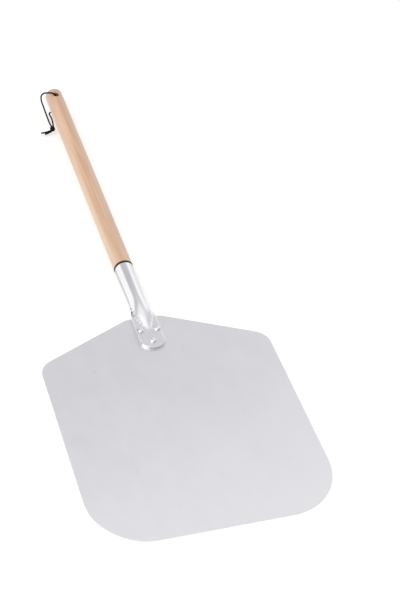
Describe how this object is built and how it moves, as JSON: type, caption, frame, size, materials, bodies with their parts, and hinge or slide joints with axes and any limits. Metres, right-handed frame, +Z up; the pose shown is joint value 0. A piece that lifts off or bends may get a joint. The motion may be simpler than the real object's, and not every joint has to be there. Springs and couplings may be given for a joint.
{
  "type": "pizza peel",
  "caption": "Flat sheet-metal peel blade with rounded front corners, riveted to a tubular socket that holds a round wooden handle with a hanging cord.",
  "frame": {"origin": "centre of the blade's underside, half way between its front edge and the rear edge of its neck", "axes": "+Z up out of the blade's working face, +Y from the blade towards the hanging end of the handle, +X across the blade"},
  "size_m": [0.3048, 0.874, 0.036],
  "materials": {
    "blade_sheet": "satin, lightly brushed",
    "socket_tube": "polished",
    "rivets": "polished domed heads",
    "joint_ring": "matt black",
    "handle_wood": "pale beech, clear satin lacquer",
    "screw": "zinc plated",
    "cord": "black twisted cord"
  },
  "bodies": {
    "peel": {"blade": "blade_sheet", "handle_socket": "socket_tube", "socket_rivets": "rivets", "joint_ring": "joint_ring", "wood_handle": "handle_wood", "retaining_screw": "screw"},
    "cord": {"hanging_cord": "cord"}
  },
  "joints": [
    {"name": "cord_swing", "type": "hinge", "parent": "peel", "child": "cord", "pos_m": [0, 0.674, 0.0028], "axis": [0, 0, 1], "range_deg": [-220, 0]}
  ]
}
